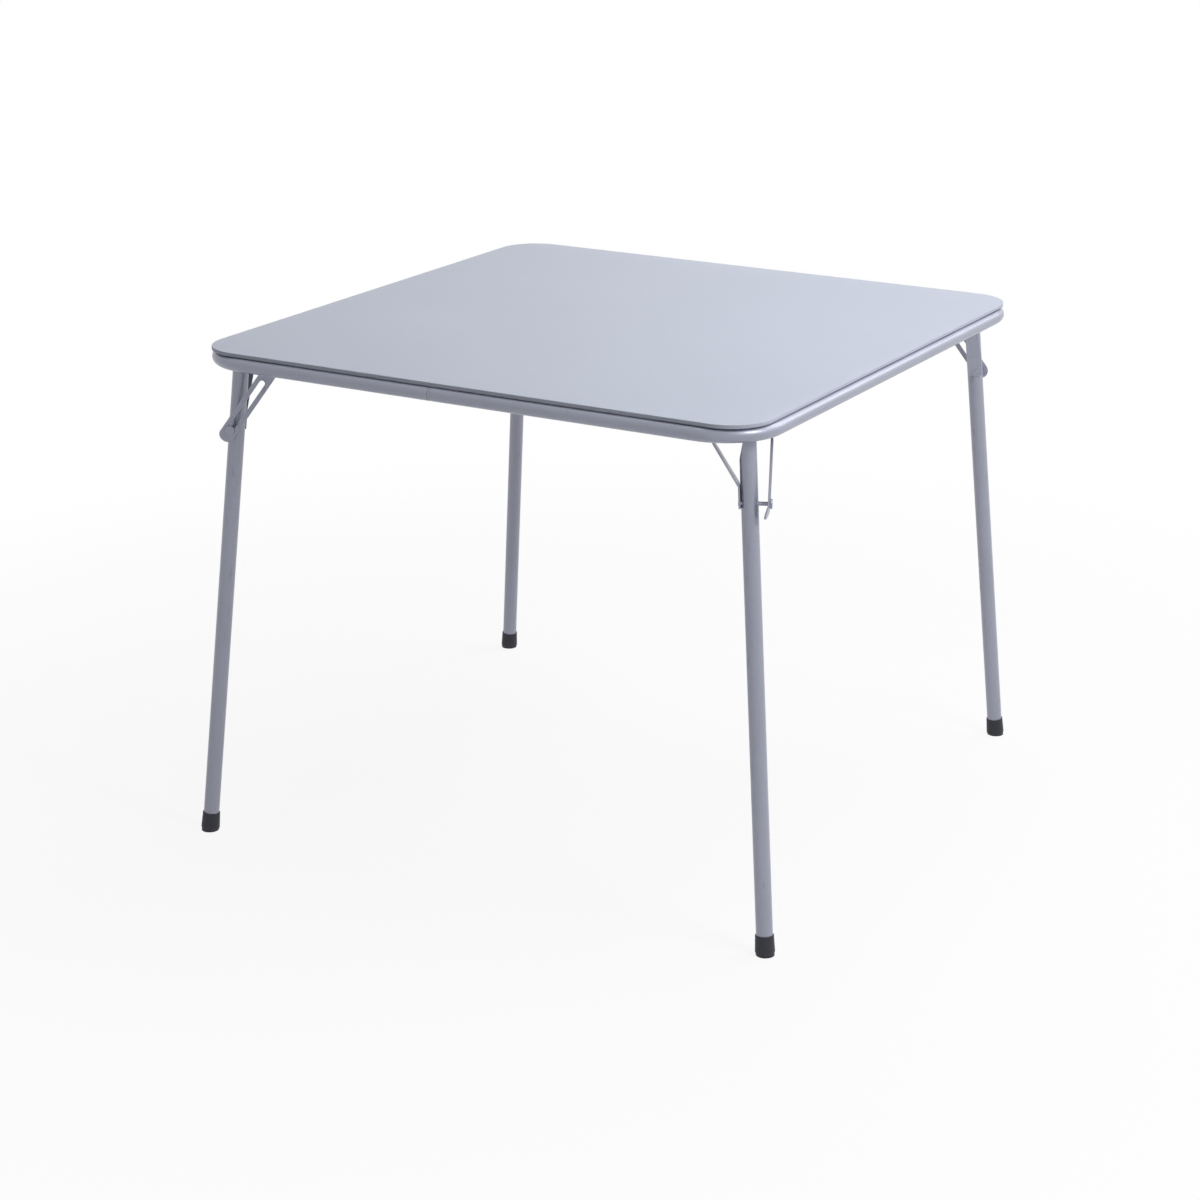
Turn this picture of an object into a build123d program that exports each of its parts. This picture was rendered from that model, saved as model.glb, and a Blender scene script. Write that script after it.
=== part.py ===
from build123d import *
import os
from math import cos, radians, sin, sqrt, tan

# Folding card table, drawn open: a thin padded square top on a bent tube frame,
# with four legs that fold up under the top one after another like a pinwheel.
# Millimetres and degrees, +Z up, the origin on the floor under the middle of the top.
# The left front corner is drawn, and each other corner is a quarter turn further on.
os.makedirs("parts", exist_ok=True)

corner_names = ["left_front", "right_front", "right_back", "left_back"]
corner_count = len(corner_names)
quarter_turn = 90

# Whole table
table_height = 698.5
frame_width = 864

# Frame tube, one bent tube whose ends meet in the front rail
rail_diameter = 19
rail_wall = 1.2
rail_bend_radius = 75
seam_from_middle = 39
seam_gap = 4.2
seam_line = 0.4
sleeve_length = 70
sleeve_wall = 1.4
sleeve_clearance = 0.1
collar_inset = 0.25

# Top: a board, a thin pad and a wrapped vinyl cover
top_setback = 7
top_corner_radius = 60
cover_thickness = 0.6
padding_thickness = 0.8
board_thickness = 3.2
hem_width = 18
top_edge_radius = 0.9
top_seat_gap = 0.3
top_rail_gap = 0.9

# Leg hinge at each corner
hinge_from_side_rail = 52.5
hinge_from_front_rail = 30
hinge_below_rail = 8
hinge_turn = 24
rod_diameter = 8
rod_head_diameter = 12
rod_head_thickness = 1.6
running_clearance = 0.08
fixed_clearance = 0.05
side_clearance = 0.4

# Leg
leg_diameter = 22
leg_wall = 1.2
leg_lean = 5.6
leg_splay = 3.2
pressed_depth = 5
press_start = 31
press_full = 9
leg_end_above_hinge = 6

# Rubber foot
foot_height = 27
foot_sole = 4
foot_rim_diameter = 24.4
foot_flare_diameter = 26.2
foot_flare_height = 4.5
foot_step_height = 2.8
foot_sole_diameter = 24.6
foot_lip = 1.2

# Pin through the leg that the slotted brace slides on
pin_diameter = 5.2
pin_below_hinge = 84.5
pin_behind_leg_middle = 4
pin_head_diameter = 8
pin_head_thickness = 0.4
pin_end_gap = 0.3

# Slotted brace
brace_lean = 35.4
brace_width = 21
brace_thickness = 2.2
brace_stand_off = 23
brace_pivot_above_hinge = 3
brace_tail = 9.5
brace_slot_width = 8
brace_slot_length = 85.5
brace_rim_width = 1.3
brace_rim_height = 0.7
brace_tail_bend = 7
brace_tail_lean = 18
brace_bend_radius = 3

# Button that keeps the brace on its pin, and the rivet at the brace's upper end
button_diameter = 13
button_thickness = 2.4
button_clearance = 0.3
rivet_diameter = 8
rivet_head_diameter = 14
rivet_head_thickness = 2.2

# Diagonal strut between the leg and the far end of the hinge rod
strut_thickness = 2.4
strut_eye_width = 14
strut_shift = 2.5
strut_reach = 42.5
strut_bend_below_hinge = 63.5
strut_eye_start = 9
strut_bend_radius = 3
strut_foot_below_pin = 6.5
strut_foot_width = 20

# Corner bracket, a stamped plate welded between the two rails
bracket_thickness = 1.6
bracket_front_reach = 140
bracket_side_reach = 125
bracket_end_width = 30
ear_thickness = 2
ear_width = 15
brace_ear_width = 20

# Screws through the brackets into the board, placed along and across the fold
screw_diameter = 4
screw_head_diameter = 8
screw_head_thickness = 2
screw_bite = 2.6
screw_place_shares = [(-0.086, -0.129), (-0.036, -0.493), (0.443, 0.257)]

# Heights and half widths that follow
rail_radius = rail_diameter / 2
rail_half = frame_width / 2 - rail_radius
top_width = frame_width - 2 * top_setback
top_thickness = 2 * cover_thickness + padding_thickness + board_thickness
top_underside = table_height - top_thickness
rail_height = top_underside - top_rail_gap - rail_radius
filling_thickness = padding_thickness + board_thickness
board_bottom = top_underside + cover_thickness
board_top = board_bottom + board_thickness
hinge_height = rail_height - hinge_below_rail
leg_radius = leg_diameter / 2

# Directions at the left front hinge. The hinge line crosses the corner at an angle:
# the leg swings up along fold_way, and outward points along the rod past the front rail.
fold_way = Vector(cos(radians(hinge_turn)), sin(radians(hinge_turn)), 0)
outward = Vector(sin(radians(hinge_turn)), -cos(radians(hinge_turn)), 0)
hinge_point = Vector(hinge_from_side_rail - rail_half, hinge_from_front_rail - rail_half, hinge_height)
fold_plane = Plane(origin=hinge_point, x_dir=fold_way, z_dir=outward)
leg_rise = fold_way * tan(radians(leg_lean)) - outward * tan(radians(leg_splay)) + Vector(0, 0, 1)
leg_side = leg_rise.cross(fold_way)
leg_plane = Plane(origin=hinge_point, x_dir=leg_side.cross(leg_rise), z_dir=leg_rise)
leg_reach = hinge_height * leg_rise.length

# Places of the pin, the brace and the bracket's ears, as (along the fold, up, outward)
leg_outward_at_pin = pin_below_hinge * tan(radians(leg_splay))
pin_along = -pin_below_hinge * tan(radians(leg_lean)) - pin_behind_leg_middle
brace_inner = leg_outward_at_pin + brace_stand_off
brace_reach = (pin_below_hinge + brace_pivot_above_hinge) / cos(radians(brace_lean))
pivot_along = pin_along + brace_reach * sin(radians(brace_lean))
pivot_point = fold_plane.from_local_coords((pivot_along, brace_pivot_above_hinge, brace_inner))
pin_point = fold_plane.from_local_coords((pin_along, -pin_below_hinge, brace_inner))
brace_plane = Plane(origin=pivot_point, x_dir=pin_point - pivot_point, z_dir=outward)
bracket_top = top_underside - top_seat_gap
bracket_bottom = bracket_top - bracket_thickness
bracket_setback = sqrt(rail_radius**2 - (bracket_bottom - rail_height) ** 2) + fixed_clearance
ear_top = bracket_bottom + bracket_thickness / 2 - hinge_height
ear_lean = (ear_width / 2) * tan(radians(leg_splay))
outer_ear = leg_radius + ear_lean + side_clearance
strut_eye_face = strut_reach + strut_thickness / 2 + ear_lean
inner_ear = -(strut_eye_face + side_clearance)
brace_ear = brace_inner - side_clearance - ear_thickness


def turned_copies(piece, name):
    """Write one copy of a corner piece for each of the four corners."""
    for number, corner in enumerate(corner_names):
        copy = piece.rotate(Axis.Z, number * quarter_turn)
        copy.label = f"{corner}_{name}"
        export_step(copy, f"parts/{corner}_{name}.step")


# Frame tube: bent round four corners, with a narrow seam in the front rail
seam_start = -seam_from_middle + seam_gap / 2
seam_end = -seam_from_middle - seam_gap / 2
with BuildPart() as frame_tube:
    with BuildLine() as rail_path:
        FilletPolyline(
            (seam_start, -rail_half, rail_height),
            (rail_half, -rail_half, rail_height),
            (rail_half, rail_half, rail_height),
            (-rail_half, rail_half, rail_height),
            (-rail_half, -rail_half, rail_height),
            (seam_end, -rail_half, rail_height),
            radius=rail_bend_radius,
        )
    with BuildSketch(Plane(origin=rail_path.line @ 0, z_dir=rail_path.line % 0)):
        Circle(rail_radius)
        Circle(rail_radius - rail_wall, mode=Mode.SUBTRACT)
    sweep()
frame_tube.part.label = "frame_tube"
export_step(frame_tube.part, "parts/frame_tube.step")

# Sleeve inside the two tube ends, with a collar between them that shows as a fine band
sleeve_radius = rail_radius - rail_wall - sleeve_clearance
collar_width = seam_gap - 2 * seam_line
sleeve_middle = Vector(-seam_from_middle, -rail_half, rail_height)
sleeve_start = sleeve_middle - Vector(sleeve_length / 2, 0, 0)
with BuildPart() as joint_sleeve:
    with BuildSketch(Plane(origin=sleeve_start, z_dir=(1, 0, 0))):
        Circle(sleeve_radius)
        Circle(sleeve_radius - sleeve_wall, mode=Mode.SUBTRACT)
    extrude(amount=sleeve_length)
    with BuildSketch(Plane(origin=sleeve_middle, z_dir=(1, 0, 0))):
        Circle(rail_radius - collar_inset)
        Circle(sleeve_radius - sleeve_wall, mode=Mode.SUBTRACT)
    extrude(amount=collar_width / 2, both=True)
joint_sleeve.part.label = "joint_sleeve"
export_step(joint_sleeve.part, "parts/joint_sleeve.step")

# Filling of the top: the same rounded slab gives the board, the pad and the cover's inside
filling_width = top_width - 2 * cover_thickness
filling_radius = top_corner_radius - cover_thickness
filling_edge = top_edge_radius - cover_thickness
with BuildPart() as filling:
    with BuildSketch(Plane.XY.offset(board_bottom)):
        RectangleRounded(filling_width, filling_width, filling_radius)
    extrude(amount=filling_thickness)
    fillet(filling.faces().sort_by(Axis.Z)[-1].edges(), filling_edge)
    fillet(filling.faces().sort_by(Axis.Z)[0].edges(), filling_edge)

# Screw places on the bracket, turned round to all four corners
screw_points = []
for corner_number in range(corner_count):
    for along, across in screw_place_shares:
        spot = Vector(along, 0, across) * bracket_front_reach
        spot = fold_plane.from_local_coords(spot)
        spot = spot.rotate(Axis.Z, corner_number * quarter_turn)
        screw_points.append((spot.X, spot.Y))

# Board, with pilot holes for the screws
with BuildPart() as top_board:
    add(filling.part)
    split(bisect_by=Plane.XY.offset(board_top), keep=Keep.BOTTOM)
    with BuildSketch(Plane.XY.offset(board_bottom)):
        with Locations(*screw_points):
            Circle(screw_diameter / 2 + fixed_clearance)
    extrude(amount=screw_bite + fixed_clearance, mode=Mode.SUBTRACT)
top_board.part.label = "top_board"
export_step(top_board.part, "parts/top_board.step")

# Thin pad between the board and the cover
with BuildPart() as top_padding:
    add(filling.part)
    split(bisect_by=Plane.XY.offset(board_top), keep=Keep.TOP)
top_padding.part.label = "top_padding"
export_step(top_padding.part, "parts/top_padding.step")

# Vinyl cover, wrapped round the edge and stapled down as a narrow hem underneath
hem_opening = top_width - 2 * hem_width
hem_radius = top_corner_radius - hem_width
with BuildPart() as top_cover:
    with BuildSketch(Plane.XY.offset(top_underside)):
        RectangleRounded(top_width, top_width, top_corner_radius)
    extrude(amount=top_thickness)
    fillet(top_cover.faces().sort_by(Axis.Z)[-1].edges(), top_edge_radius)
    fillet(top_cover.faces().sort_by(Axis.Z)[0].edges(), top_edge_radius)
    add(filling.part, mode=Mode.SUBTRACT)
    with BuildSketch(Plane.XY.offset(top_underside)):
        RectangleRounded(hem_opening, hem_opening, hem_radius)
    extrude(amount=cover_thickness, mode=Mode.SUBTRACT)
top_cover.part.label = "top_cover"
export_step(top_cover.part, "parts/top_cover.step")

# Screws, pan heads up under the bracket plates
with BuildPart() as top_screws:
    with BuildSketch(Plane.XY.offset(bracket_bottom - screw_head_thickness)):
        with Locations(*screw_points):
            Circle(screw_head_diameter / 2)
    extrude(amount=screw_head_thickness)
    chamfer(top_screws.faces().group_by(Axis.Z)[0].edges(), screw_head_thickness / 3)
    with BuildSketch(Plane.XY.offset(bracket_bottom)):
        with Locations(*screw_points):
            Circle(screw_diameter / 2)
    extrude(amount=board_bottom + screw_bite - bracket_bottom)
top_screws.part.label = "top_screws"
export_step(top_screws.part, "parts/top_screws.step")

# Corner bracket: a plate that fills the corner between the rails, with three ears bent down
plate_edge = rail_half - bracket_setback
plate_bend = rail_bend_radius - bracket_setback
front_end = bracket_front_reach - rail_half
side_end = bracket_side_reach - rail_half
inner_edge = rail_half - bracket_end_width
with BuildPart() as corner_bracket:
    with BuildSketch(Plane.XY.offset(bracket_bottom)):
        with BuildLine():
            FilletPolyline(
                (front_end, -plate_edge),
                (-plate_edge, -plate_edge),
                (-plate_edge, side_end),
                radius=plate_bend,
            )
            Polyline(
                (-plate_edge, side_end),
                (-inner_edge, side_end),
                (front_end, -inner_edge),
                (front_end, -plate_edge),
            )
        make_face()
        with Locations(*screw_points[: len(screw_place_shares)]):
            Circle(screw_diameter / 2 + fixed_clearance, mode=Mode.SUBTRACT)
    extrude(amount=bracket_thickness)
    for ear_face in (outer_ear, inner_ear - ear_thickness):
        with BuildSketch(fold_plane.offset(ear_face)):
            Circle(ear_width / 2)
            with Locations((0, ear_top / 2)):
                Rectangle(ear_width, ear_top)
            Circle(rod_diameter / 2 + fixed_clearance, mode=Mode.SUBTRACT)
        extrude(amount=ear_thickness)
    brace_ear_rise = ear_top - brace_pivot_above_hinge
    with BuildSketch(fold_plane.offset(brace_ear)):
        with Locations((pivot_along, brace_pivot_above_hinge)):
            Circle(brace_ear_width / 2)
        with Locations((pivot_along, brace_pivot_above_hinge + brace_ear_rise / 2)):
            Rectangle(brace_ear_width, brace_ear_rise)
        with Locations((pivot_along, brace_pivot_above_hinge)):
            Circle(rivet_diameter / 2 + fixed_clearance, mode=Mode.SUBTRACT)
    extrude(amount=ear_thickness)
turned_copies(corner_bracket.part, "corner_bracket")

# Hinge rod between the two hinge ears, headed at both ends
rod_start = inner_ear - ear_thickness
rod_end = outer_ear + ear_thickness
with BuildPart() as hinge_rod:
    with BuildSketch(fold_plane.offset(rod_start)):
        Circle(rod_diameter / 2)
    extrude(amount=rod_end - rod_start)
    for head_face in (rod_start - rod_head_thickness, rod_end):
        with BuildSketch(fold_plane.offset(head_face)):
            Circle(rod_head_diameter / 2)
        extrude(amount=rod_head_thickness)
    rod_rims = hinge_rod.edges().filter_by(GeomType.CIRCLE).group_by(lambda rim: rim.radius)[-1]
    head_ends = rod_rims.group_by(Axis(hinge_point, outward))
    chamfer(head_ends[0] + head_ends[-1], rod_head_thickness / 3)
turned_copies(hinge_rod.part, "hinge_rod")

# Leg tube: round, with a flat pressed into its inner side where the hinge rod goes through
tube_end = leg_reach - foot_sole
press_plane = Plane(origin=hinge_point, x_dir=leg_plane.y_dir, z_dir=leg_plane.x_dir)


def pressed_rod(inset):
    """Solid with the leg's outline, drawn in by the inset all round."""
    with BuildPart() as rod:
        with BuildSketch(leg_plane.offset(-tube_end)):
            Circle(leg_radius - inset)
        extrude(amount=tube_end + leg_end_above_hinge)
        with BuildSketch(press_plane):
            with Locations((-inset, 0)):
                Polygon(
                    (leg_radius, -press_start),
                    (leg_radius - pressed_depth, -press_full),
                    (leg_radius - pressed_depth, leg_end_above_hinge),
                    (leg_diameter, leg_end_above_hinge),
                    (leg_diameter, -press_start),
                    align=None,
                )
        extrude(amount=leg_radius, both=True, mode=Mode.SUBTRACT)
    return rod.part


leg_outside = pressed_rod(0)
leg_bore = pressed_rod(leg_wall)
with BuildPart() as leg_tube:
    add(leg_outside)
    add(leg_bore, mode=Mode.SUBTRACT)
    with BuildSketch(fold_plane):
        Circle(rod_diameter / 2 + running_clearance)
        with Locations((pin_along, -pin_below_hinge)):
            Circle(pin_diameter / 2 + fixed_clearance)
    extrude(amount=leg_diameter, both=True, mode=Mode.SUBTRACT)
turned_copies(leg_tube.part, "leg_tube")

# Rubber foot: a cap over the tube's end, flared low down and flat on the floor
foot_bore = leg_radius + fixed_clearance
with BuildPart() as foot_cap:
    with BuildSketch(Plane(origin=leg_plane.origin, x_dir=leg_plane.x_dir, z_dir=-leg_plane.y_dir)):
        with BuildLine():
            Polyline(
                (0, -leg_reach - foot_lip),
                (foot_sole_diameter / 2, -leg_reach - foot_lip),
                (foot_sole_diameter / 2, -leg_reach + foot_step_height),
                (foot_flare_diameter / 2, -leg_reach + foot_flare_height),
                (foot_rim_diameter / 2, -leg_reach + foot_height),
                (foot_bore, -leg_reach + foot_height),
                (foot_bore, -tube_end),
                (0, -tube_end),
                close=True,
            )
        make_face()
    revolve(axis=Axis(leg_plane.origin, leg_plane.z_dir))
    rims = foot_cap.edges().filter_by(GeomType.CIRCLE)
    fillet(rims.group_by(lambda rim: rim.radius)[-1], foot_lip)
    split(bisect_by=Plane.XY, keep=Keep.TOP)
turned_copies(foot_cap.part, "foot_cap")

# Diagonal strut: a flat foot against the leg, a bar that narrows upward and an eye on the rod
strut_plane = Plane(origin=hinge_point, x_dir=-leg_plane.y_dir, z_dir=-leg_plane.x_dir)
strut_face_plane = Plane(origin=hinge_point, x_dir=leg_plane.x_dir, z_dir=-leg_plane.y_dir)
strut_foot_end = pin_below_hinge * leg_rise.length + strut_foot_below_pin
strut_foot_outside = leg_radius + fixed_clearance + strut_thickness
strut_foot_middle = -(strut_foot_outside - strut_thickness / 2)
eye_radius = strut_eye_width / 2
upper_bend = Vector(-strut_reach, -strut_eye_start)
eye_lean = tan(radians(leg_splay))
eye_top = upper_bend + Vector(eye_lean, 1) * (strut_eye_start + eye_radius)
with BuildPart() as side_strut:
    with BuildSketch(strut_plane):
        with BuildLine():
            FilletPolyline(
                (strut_foot_middle, -strut_foot_end),
                (strut_foot_middle, -strut_bend_below_hinge),
                upper_bend,
                eye_top,
                radius=strut_bend_radius,
            )
        trace(line_width=strut_thickness)
    extrude(amount=strut_foot_width, both=True)
    with BuildSketch(strut_face_plane.offset(-2 * strut_reach)):
        with Locations((strut_shift, 0)):
            Circle(eye_radius)
        Polygon(
            (strut_shift + eye_radius, 0),
            (strut_shift - eye_radius, 0),
            (-strut_foot_width / 2, -strut_bend_below_hinge),
            (-strut_foot_width / 2, -strut_foot_end),
            (strut_foot_width / 2, -strut_foot_end),
            (strut_foot_width / 2, -strut_bend_below_hinge),
            align=None,
        )
    extrude(amount=2 * strut_reach, mode=Mode.INTERSECT)
    with BuildSketch(fold_plane):
        Circle(rod_diameter / 2 + running_clearance)
        with Locations((pin_along, -pin_below_hinge)):
            Circle(pin_diameter / 2 + fixed_clearance)
    extrude(amount=-2 * strut_reach, mode=Mode.SUBTRACT)
turned_copies(side_strut.part, "side_strut")

# Pin riveted through the strut's foot and the leg; its end stops short of the brace
pin_head_lean = (pin_head_diameter / 2) * tan(radians(leg_splay))
pin_head_seat = leg_outward_at_pin - strut_foot_outside - pin_head_lean
with BuildPart() as brace_pin:
    with BuildSketch(fold_plane.offset(pin_head_seat)):
        with Locations((pin_along, -pin_below_hinge)):
            Circle(pin_diameter / 2)
    extrude(amount=brace_inner - pin_end_gap - pin_head_seat)
    with BuildSketch(fold_plane.offset(pin_head_seat)):
        with Locations((pin_along, -pin_below_hinge)):
            Circle(pin_head_diameter / 2)
    extrude(amount=-pin_head_thickness)
    head_end = brace_pin.faces().sort_by(Axis(hinge_point, outward))[0]
    chamfer(head_end.edges(), pin_head_thickness / 2)
turned_copies(brace_pin.part, "brace_pin")

# Slotted brace: a flat bar with round ends and a raised rim round its slot. Below the slot
# its tail is bent towards the leg.
brace_length = brace_reach + brace_tail
tail_start = brace_reach + brace_tail_bend
tail_end = brace_length + brace_width
tail_drop = (tail_end - tail_start) * tan(radians(brace_tail_lean))
brace_side_plane = Plane(origin=pivot_point, x_dir=brace_plane.x_dir, z_dir=-brace_plane.y_dir)
slot_middle = brace_reach - (brace_slot_length - brace_slot_width / 2) / 2
slot_centres = brace_slot_length - brace_slot_width / 2
with BuildPart() as slotted_brace:
    with BuildSketch(brace_side_plane):
        with BuildLine():
            FilletPolyline(
                (-brace_width, brace_thickness / 2),
                (tail_start, brace_thickness / 2),
                (tail_end, brace_thickness / 2 - tail_drop),
                radius=brace_bend_radius,
            )
        trace(line_width=brace_thickness)
    extrude(amount=brace_width, both=True)
    with BuildSketch(brace_plane):
        with Locations((brace_length / 2, 0)):
            SlotCenterToCenter(brace_length, brace_width)
        Circle(rivet_diameter / 2 + running_clearance, mode=Mode.SUBTRACT)
        with Locations((slot_middle, 0)):
            SlotCenterToCenter(slot_centres, brace_slot_width, mode=Mode.SUBTRACT)
    extrude(amount=brace_width, both=True, mode=Mode.INTERSECT)
    with BuildSketch(brace_plane.offset(brace_thickness)):
        with Locations((slot_middle, 0)):
            SlotCenterToCenter(slot_centres, brace_slot_width + 2 * brace_rim_width)
            SlotCenterToCenter(slot_centres, brace_slot_width, mode=Mode.SUBTRACT)
    extrude(amount=brace_rim_height)
turned_copies(slotted_brace.part, "slotted_brace")

# Rivet that carries the brace's upper end on the bracket's ear
rivet_inner_face = brace_ear - brace_inner
with BuildPart() as brace_rivet:
    with BuildSketch(brace_plane.offset(rivet_inner_face)):
        Circle(rivet_diameter / 2)
    extrude(amount=brace_thickness + side_clearance - rivet_inner_face)
    with BuildSketch(brace_plane.offset(brace_thickness + side_clearance)):
        Circle(rivet_head_diameter / 2)
    extrude(amount=rivet_head_thickness)
    with BuildSketch(brace_plane.offset(rivet_inner_face)):
        Circle(rod_head_diameter / 2)
    extrude(amount=-rod_head_thickness)
    outer_head = brace_rivet.faces().sort_by(Axis(hinge_point, outward))[-1]
    fillet(outer_head.edges(), rivet_head_thickness / 2)
turned_copies(brace_rivet.part, "brace_rivet")

# Slide button: the head that holds the brace against its pin, with a neck in the slot
button_seat = brace_thickness + brace_rim_height + button_clearance
with BuildPart() as slide_button:
    with BuildSketch(brace_plane):
        with Locations((brace_reach, 0)):
            Circle(brace_slot_width / 2 - button_clearance)
    extrude(amount=button_seat)
    with BuildSketch(brace_plane.offset(button_seat)):
        with Locations((brace_reach, 0)):
            Circle(button_diameter / 2)
    extrude(amount=button_thickness)
    button_face = slide_button.faces().sort_by(Axis(hinge_point, outward))[-1]
    fillet(button_face.edges(), button_thickness / 2)
turned_copies(slide_button.part, "slide_button")
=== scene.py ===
import math

import bpy
from mathutils import Euler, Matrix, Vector


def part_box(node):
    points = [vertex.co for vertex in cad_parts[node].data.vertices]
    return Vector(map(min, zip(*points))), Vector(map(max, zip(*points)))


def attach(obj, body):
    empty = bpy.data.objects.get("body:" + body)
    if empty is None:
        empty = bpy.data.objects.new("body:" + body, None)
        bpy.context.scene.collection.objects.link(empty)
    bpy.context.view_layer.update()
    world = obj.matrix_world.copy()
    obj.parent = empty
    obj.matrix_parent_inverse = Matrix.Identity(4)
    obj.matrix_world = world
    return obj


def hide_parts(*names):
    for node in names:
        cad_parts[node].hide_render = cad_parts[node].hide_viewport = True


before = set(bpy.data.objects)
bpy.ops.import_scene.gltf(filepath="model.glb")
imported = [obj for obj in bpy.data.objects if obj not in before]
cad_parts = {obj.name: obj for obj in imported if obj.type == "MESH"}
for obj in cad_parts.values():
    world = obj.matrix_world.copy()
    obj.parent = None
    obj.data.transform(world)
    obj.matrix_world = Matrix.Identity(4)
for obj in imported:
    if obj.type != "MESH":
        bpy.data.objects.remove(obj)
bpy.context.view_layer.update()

# Frame rail: one steel tube bent round four corners, and the sleeve that joins its ends, of
# which a collar shows as a fine band. Its silver grey powder coat is thick and a little
# uneven, with fine metal flake under a clear skin, so it shines softly and ripples slightly.


class Shade:
    """A value in a material, which adds and multiplies as a number does."""

    def __init__(self, tree, socket=None):
        self.tree = tree
        self.socket = socket

    def node(self, kind, settings, inputs, output=0):
        """A new node with these settings and inputs, as the value of one of its outputs."""
        made = self.tree.nodes.new(kind)
        for name, value in settings.items():
            setattr(made, name, value)
        for name, value in inputs.items():
            if isinstance(value, Shade):
                self.tree.links.new(value.socket, made.inputs[name])
            else:
                made.inputs[name].default_value = value
        return Shade(self.tree, made.outputs[output])

    def maths(self, operation, first, second):
        return self.node("ShaderNodeMath", {"operation": operation}, {0: first, 1: second})

    def __add__(self, other):
        return self.maths("ADD", self, other)

    def __radd__(self, other):
        return self.maths("ADD", other, self)

    def __rsub__(self, other):
        return self.maths("SUBTRACT", other, self)

    def __mul__(self, other):
        return self.maths("MULTIPLY", self, other)

    def __rmul__(self, other):
        return self.maths("MULTIPLY", other, self)

    def between(self, low, high):
        """0 where this is below low, 1 where it is above high, smooth in between."""
        return self.node(
            "ShaderNodeMapRange",
            {"interpolation_type": "SMOOTHSTEP"},
            {"Value": self, "From Min": low, "From Max": high},
        )

    def place(self):
        """Where a point of the surface lies in the object's own coordinates."""
        return self.node("ShaderNodeTexCoord", {}, {}, "Object")

    def noise(self, size, detail, stretch=(1, 1, 1)):
        """Cloudy noise with blotches of about this size, more finely broken with detail."""
        scaled = self.node("ShaderNodeMapping", {}, {"Vector": self.place(), "Scale": stretch})
        return self.node(
            "ShaderNodeTexNoise", {}, {"Vector": scaled, "Scale": 1 / size, "Detail": detail}
        )

    def cells(self, per_metre):
        """Small packed cells: how far a point is from the middle of its cell."""
        return self.node(
            "ShaderNodeTexVoronoi",
            {},
            {"Vector": self.place(), "Scale": per_metre},
            "Distance",
        )

    def blend(self, amount, first, second):
        """One colour fading into another."""
        return self.node(
            "ShaderNodeMix",
            {"data_type": "RGBA"},
            {"Factor": amount, "A": first, "B": second},
            "Result",
        )

    def bump(self, height, depth):
        """Fine relief, which is this deep where the height goes from 0 to 1."""
        return self.node("ShaderNodeBump", {}, {"Height": height, "Distance": depth})


def colour(red, green, blue):
    """A screen colour, 0 to 255, as the linear light that a shader reads."""
    shares = [part / 255 for part in (red, green, blue)]
    return [s / 12.92 if s <= 0.04045 else ((s + 0.055) / 1.055) ** 2.4 for s in shares] + [1]


def finish(name, inputs):
    """A material whose surface is worked out by the given function of a Shade."""
    material = bpy.data.materials.new(name)
    material.use_nodes = True
    tree = material.node_tree
    surface = tree.nodes["Principled BSDF"]
    for socket, value in inputs(Shade(tree)).items():
        if isinstance(value, Shade):
            tree.links.new(value.socket, surface.inputs[socket])
        else:
            surface.inputs[socket].default_value = value
    return material


def dress(material, *names):
    """Put a material on the named pieces, in place of what they came with."""
    for name in names:
        slots = bpy.data.objects[name].data.materials
        slots.clear()
        slots.append(material)


def powder_coat_surface(s):
    cloud = s.noise(size=0.09, detail=3)
    flake = s.noise(size=0.0009, detail=1)
    peel = s.noise(size=0.0022, detail=1)
    scuff = s.noise(size=0.012, detail=6, stretch=(1, 1, 0.25)).between(0.63, 0.72)
    flake_share = 0.35
    scuff_share = 0.25
    flake_silver = colour(198, 201, 214)
    scuffed_grey = colour(130, 132, 146)
    grey = s.blend(cloud, colour(152, 155, 171), colour(166, 169, 186))
    flecked = s.blend(flake.between(0.55, 0.75) * flake_share, grey, flake_silver)
    return {
        "Base Color": s.blend(scuff * scuff_share, flecked, scuffed_grey),
        "Metallic": 0.4,
        "Roughness": 0.34 + 0.1 * cloud + 0.12 * scuff,
        "Coat Weight": 0.35,
        "Coat Roughness": 0.16,
        "Normal": s.bump(peel + 0.4 * flake, depth=0.00012),
    }


powder_coat = finish("powder_coat", powder_coat_surface)
dress(powder_coat, "frame_tube", "joint_sleeve")

# Corner pieces: bracket, leg tube, strut and slotted brace, with the brace's rivet, pin and
# slide button. All are pressed, bent or drilled steel, coated like the rail.


def at_corners(*pieces):
    """The names of these pieces at all four corners of the table."""
    corners = ("left_front", "right_front", "right_back", "left_back")
    return [f"{corner}_{piece}" for corner in corners for piece in pieces]


dress(powder_coat, *at_corners("corner_bracket", "leg_tube", "side_strut", "slotted_brace"))
dress(powder_coat, *at_corners("brace_rivet", "brace_pin", "slide_button"))

# Hinge rods: turned steel with headed ends and a thin, softly streaked zinc plating, so
# that the legs turn on them without chipping a coat.


def zinc_surface(s):
    streak = s.noise(size=0.004, detail=3, stretch=(1, 1, 0.3))
    bloom = s.noise(size=0.02, detail=4)
    return {
        "Base Color": s.blend(bloom, colour(150, 152, 156), colour(178, 180, 182)),
        "Metallic": 0.85,
        "Roughness": 0.3 + 0.25 * streak,
        "Normal": s.bump(streak, depth=0.00006),
    }


zinc_plate = finish("zinc_plate", zinc_surface)
dress(zinc_plate, *at_corners("hinge_rod"))

# Feet: black rubber caps pushed over the tube ends and flared low down. The rubber is dull,
# with a painted highlight in uneven patches on its flared rim near the floor.


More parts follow.
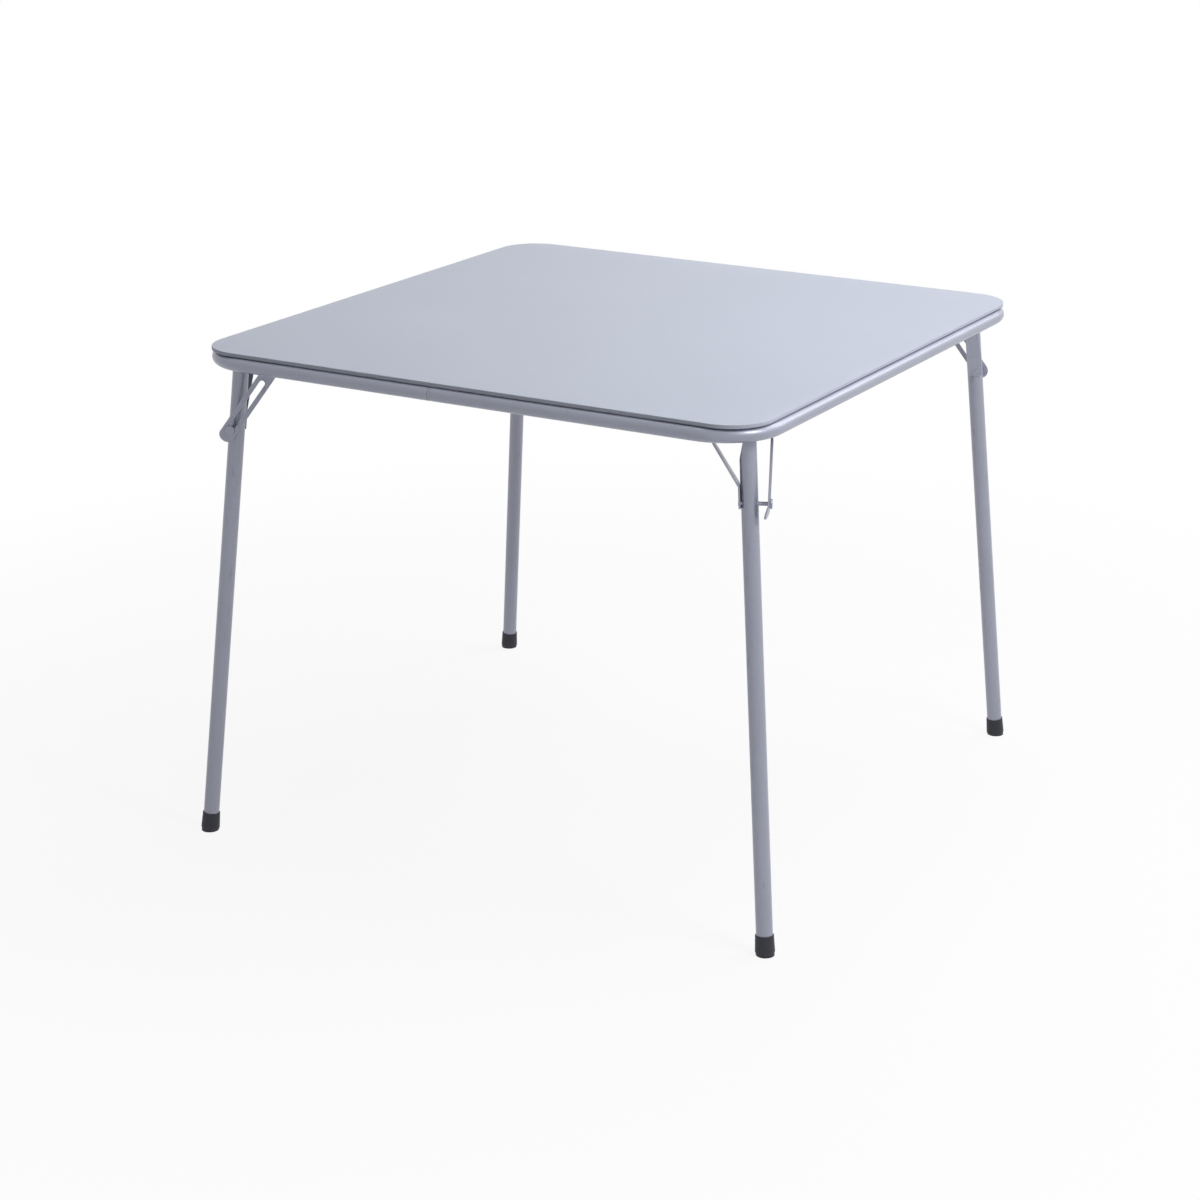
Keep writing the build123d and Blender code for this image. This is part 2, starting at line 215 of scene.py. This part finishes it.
def rubber_surface(s):
    height = s.node("ShaderNodeSeparateXYZ", {}, {"Vector": s.place()}, "Z")
    speck = s.noise(size=0.002, detail=3)
    # Painted highlight: the lowest 2 cm of each foot is blended towards a lighter blue grey, in
    # uneven patches.
    rim_highlight_height = 0.02
    painted_rim_highlight = s.noise(size=0.02, detail=4).between(0.4, 0.8) * (1 - height.between(0, rim_highlight_height))
    rim_highlight_share = 0.35
    return {
        "Base Color": s.blend(painted_rim_highlight * rim_highlight_share, colour(42, 43, 53), colour(94, 98, 112)),
        "Roughness": 0.5 + 0.2 * speck,
        "Normal": s.bump(speck, depth=0.0001),
    }


dress(finish("foot_rubber", rubber_surface), *at_corners("foot_cap"))

# Board of the top: thin pressed fibreboard, brown and smooth, with a faint mesh from the
# press on its underside. Only that side shows, inside the vinyl's hem.


def hardboard_surface(s):
    fibre = s.noise(size=0.003, detail=6, stretch=(1, 0.4, 1))
    patch = s.noise(size=0.12, detail=3)
    patch_share = 0.4
    lines = {"Vector": s.place(), "Scale": 310.0, "Distortion": 0.6, "Detail Scale": 40.0}
    along, across = (
        s.node("ShaderNodeTexWave", {"bands_direction": way}, lines, "Fac") for way in ("X", "Y")
    )
    brown = s.blend(fibre, colour(104, 74, 50), colour(139, 103, 72))
    return {
        "Base Color": s.blend(patch * patch_share, brown, colour(120, 84, 58)),
        "Roughness": 0.6 + 0.2 * fibre,
        "Normal": s.bump(fibre + 0.3 * (along + across), depth=0.0002),
    }


dress(finish("hardboard", hardboard_surface), "top_board")

# Foam pad: a thin sheet of soft foam laid on the board, cut to the same rounded square and
# held only by the stretched vinyl over it.


def block(name, middle, sides):
    """A plain block as a new piece, ready to be shaped."""
    bpy.ops.object.select_all(action="DESELECT")
    bpy.ops.mesh.primitive_cube_add(size=1, location=middle, scale=sides)
    piece = bpy.context.object
    piece.name = name
    bpy.ops.object.transform_apply(location=True, rotation=True, scale=True)
    return piece


def pick(piece, part, test):
    """Open the piece for editing with only those edges or faces selected that pass."""
    bpy.context.view_layer.objects.active = piece
    bpy.ops.object.mode_set(mode="EDIT")
    bpy.ops.mesh.select_mode(type=part)
    bpy.ops.mesh.select_all(action="DESELECT")
    bpy.ops.object.mode_set(mode="OBJECT")
    mesh = piece.data
    if part == "EDGE":
        for edge in mesh.edges:
            edge.select = test(*(mesh.vertices[end].co for end in edge.vertices))
    else:
        for face in mesh.polygons:
            face.select = test(face.center, face.normal)
    bpy.ops.object.mode_set(mode="EDIT")


def at_height(height, first, second):
    """Whether both ends of an edge lie at this height."""
    slack = 0.00001
    return max(abs(first.z - height), abs(second.z - height)) < slack


def rounded_panel(name, node, corner_radius, rims):
    """A flat rounded square as large as a node, with each listed rim rounded."""
    corner_steps = 20
    rim_steps = 5
    low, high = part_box(node)
    panel = block(name, (low + high) / 2, high - low)
    pick(panel, "EDGE", lambda a, b: abs(a.z - b.z) > (high.z - low.z) / 2)
    bpy.ops.mesh.bevel(offset=corner_radius, segments=corner_steps)
    for height, radius in rims:
        pick(panel, "EDGE", lambda a, b: at_height(height, a, b))
        bpy.ops.mesh.bevel(offset=radius, segments=rim_steps)
    bpy.ops.object.mode_set(mode="OBJECT")
    return panel


cover_corner = 0.060
vinyl_thickness = 0.0006
pad_rim_radius = 0.0006
pad_low, pad_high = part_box("top_padding")
foam_pad = rounded_panel(
    "foam_pad", "top_padding", cover_corner - vinyl_thickness, [(pad_high.z, pad_rim_radius)]
)


def foam_surface(s):
    cell = s.cells(per_metre=900)
    return {
        "Base Color": s.blend(cell, colour(226, 219, 196), colour(196, 187, 160)),
        "Roughness": 0.95,
        "Normal": s.bump(cell, depth=0.0004),
    }


dress(finish("foam", foam_surface), "foam_pad")
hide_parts("top_padding")
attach(foam_pad, "table_frame")

# Vinyl cover: a pale blue-grey sheet stretched over the pad and the board, wrapped round a
# rounded edge and fixed underneath as a narrow hem. It has a fine leather-like emboss.
cover_low, cover_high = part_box("top_cover")
hem_width = 0.018
edge_radius = 0.0009
turned_under_radius = 0.0009
smooth_below = math.radians(35)
# A face with at least this much of its direction along Z counts as facing straight up or down.
straight = 0.99
vinyl_cover = rounded_panel(
    "vinyl_cover",
    "top_cover",
    cover_corner,
    [(cover_high.z, edge_radius), (cover_low.z, turned_under_radius)],
)
pick(vinyl_cover, "FACE", lambda middle, normal: normal.z < -straight)
bpy.ops.mesh.inset(thickness=hem_width - turned_under_radius)
bpy.ops.mesh.delete(type="FACE")
bpy.ops.object.mode_set(mode="OBJECT")
sheet_body = vinyl_cover.modifiers.new("sheet", "SOLIDIFY")
sheet_body.thickness = vinyl_thickness
sheet_body.offset = -1
bpy.ops.object.modifier_apply(modifier="sheet")
bpy.ops.object.shade_smooth_by_angle(angle=smooth_below)


def vinyl_surface(s):
    grain = s.cells(per_metre=1100)
    pebble = s.noise(size=0.0035, detail=3)
    cloud = s.noise(size=0.25, detail=2)
    return {
        "Base Color": s.blend(cloud, colour(182, 188, 203), colour(188, 194, 209)),
        "Roughness": 0.42 + 0.1 * pebble,
        "Specular IOR Level": 0.4,
        "Normal": s.bump(grain + 0.6 * pebble, depth=0.00008),
    }


dress(finish("vinyl", vinyl_surface), "vinyl_cover")
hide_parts("top_cover")
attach(vinyl_cover, "table_frame")

# Staples: bent from flat zinc plated wire and shot through the vinyl's hem into the board,
# in a row along each side, just inside the rail. The brackets cover the rest of the hem.
staple_width = 0.010
wire_width = 0.0012
wire_thickness = 0.0005
leg_shown = 0.0004
staple_gap = 0.065
staples_each_way = 4
row_from_hem_end = 0.0035
wire_bend_steps = 2
row_from_middle = cover_high.x - hem_width + row_from_hem_end
leg_from_middle = staple_width / 2 - wire_thickness
crown_under = cover_low.z - wire_thickness
staple = block(
    "staple",
    (0, 0, crown_under + wire_thickness / 2),
    (wire_width, staple_width, wire_thickness),
)
for end in (-1, 1):
    pick(staple, "FACE", lambda middle, normal: True)
    bpy.ops.mesh.bisect(plane_co=(0, end * leg_from_middle, 0), plane_no=(0, 1, 0))
pick(
    staple,
    "FACE",
    lambda middle, normal: normal.z > straight and abs(middle.y) > leg_from_middle,
)
bpy.ops.mesh.extrude_region_move(TRANSFORM_OT_translate={"value": (0, 0, leg_shown)})
# The edges under the crown and all upright edges are a little rounded.
pick(
    staple,
    "EDGE",
    lambda a, b: at_height(crown_under, a, b) or not at_height(a.z, a, b),
)
bpy.ops.mesh.bevel(offset=wire_thickness / 4, segments=wire_bend_steps)
bpy.ops.object.mode_set(mode="OBJECT")
staple_copies = []
for side in range(4):
    side_turn = side * math.pi / 2
    for step in range(-staples_each_way, staples_each_way + 1):
        place = Vector((row_from_middle, step * staple_gap, 0))
        place.rotate(Euler((0, 0, side_turn)))
        copy = staple.copy()
        copy.data = staple.data.copy()
        copy.rotation_euler.z = side_turn
        copy.location = place
        bpy.context.scene.collection.objects.link(copy)
        staple_copies.append(copy)
bpy.ops.object.select_all(action="DESELECT")
for copy in staple_copies:
    copy.select_set(True)
bpy.context.view_layer.objects.active = staple_copies[0]
bpy.ops.object.join()
hem_staples = bpy.context.object
hem_staples.name = "hem_staples"
bpy.ops.object.transform_apply(location=True, rotation=True, scale=True)
bpy.ops.object.shade_smooth_by_angle(angle=smooth_below)
bpy.data.objects.remove(staple)
dress(zinc_plate, "hem_staples")
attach(hem_staples, "table_frame")

# Screws: driven up through the corner brackets into the board, with their pan heads below,
# they hold the top on the frame. They are plain steel, zinc plated like the hinge rods.
dress(zinc_plate, "top_screws")

# Floor and backdrop, which aren't part of the table: a plain pale floor, which shows as
# white further off and keeps the table's soft shadow nearby, and a plain white room.
floor_width = 60
shadow_near = 0.8
shadow_gone = 2.0
white_nearby = 0.9
room_light = 0.12
bpy.ops.object.select_all(action="DESELECT")
bpy.ops.mesh.primitive_plane_add(size=floor_width)
floor = bpy.context.object
floor.name = "floor"


def shown_white(tree, share):
    """How far something is plain white, for the rays that show the background."""
    seen = Shade(tree)
    rays = [
        seen.node("ShaderNodeLightPath", {}, {}, ray)
        for ray in ("Is Camera Ray", "Is Glossy Ray", "Is Transmission Ray")
    ]
    return seen.maths("MINIMUM", rays[0] + rays[1] + rays[2], 1) * share


floor_white = bpy.data.materials.new("floor_white")
floor_white.use_nodes = True
tree = floor_white.node_tree
matt = tree.nodes["Principled BSDF"]
matt.inputs["Base Color"].default_value = colour(243, 243, 244)
matt.inputs["Roughness"].default_value = 0.9
ground = Shade(tree)
glow = ground.node("ShaderNodeEmission", {}, {"Color": (1, 1, 1, 1), "Strength": 1.0})
away = ground.node("ShaderNodeVectorMath", {"operation": "LENGTH"}, {0: ground.place()}, "Value")
white_share = white_nearby + (1 - white_nearby) * away.between(shadow_near, shadow_gone)
mixed = ground.node("ShaderNodeMixShader", {}, {0: shown_white(tree, white_share)})
tree.links.new(matt.outputs["BSDF"], mixed.socket.node.inputs[1])
tree.links.new(glow.socket, mixed.socket.node.inputs[2])
tree.links.new(mixed.socket, tree.nodes["Material Output"].inputs["Surface"])
dress(floor_white, "floor")

world = bpy.data.worlds.new("studio")
bpy.context.scene.world = world
world.use_nodes = True
sky = world.node_tree.nodes["Background"]
sky.inputs["Color"].default_value = (1, 1, 1, 1)
strength = room_light + (1 - room_light) * shown_white(world.node_tree, 1)
world.node_tree.links.new(strength.socket, sky.inputs["Strength"])

# Soft lamps: one stands behind on the right, one hangs above and one stands at the right.
# Each has its name, its place, how wide it is and its power, and they aim at the table.
top_middle = Vector((0, 0, cover_high.z))
lamps = (
    ("lamp_behind", (1.9, 2.6, 2.9), 2.4, 50),
    ("lamp_above", (0.2, 0.7, 3.2), 1.7, 35),
    ("lamp_right", (2.4, -0.5, 2.3), 1.0, 38),
)
for name, place, size, power in lamps:
    bpy.ops.object.light_add(type="AREA", location=place)
    lamp = bpy.context.object
    lamp.name = name
    lamp.data.size = size
    lamp.data.energy = power
    aim = top_middle / 2 - lamp.location
    lamp.rotation_euler = aim.to_track_quat("-Z", "Y").to_euler()

# Camera: looks down a little from the right of the front, from where the photograph was
# taken. Its place is a turn, a rise and a distance from the middle of the top.
camera_turn = math.radians(30.197)
camera_rise = math.radians(18.833)
camera_roll = math.radians(0.059)
camera_distance = 3.8282
camera_sideways = -0.0291
camera_lift = -0.3931
camera_lens = 81.315
toward_camera = Vector(
    (
        math.sin(camera_turn) * math.cos(camera_rise),
        -math.cos(camera_turn) * math.cos(camera_rise),
        math.sin(camera_rise),
    )
)
rightward = Vector((math.cos(camera_turn), math.sin(camera_turn), 0))
upward = toward_camera.cross(rightward)
camera_place = (
    top_middle
    + toward_camera * camera_distance
    + rightward * camera_sideways
    + upward * camera_lift
)
bpy.ops.object.camera_add(
    location=camera_place, rotation=(math.pi / 2 - camera_rise, 0, camera_turn)
)
camera = bpy.context.object
camera.rotation_euler.rotate_axis("Z", -camera_roll)
camera.data.lens = camera_lens
camera.data.sensor_width = 36
bpy.context.scene.camera = camera
bpy.context.scene.view_settings.view_transform = "Standard"
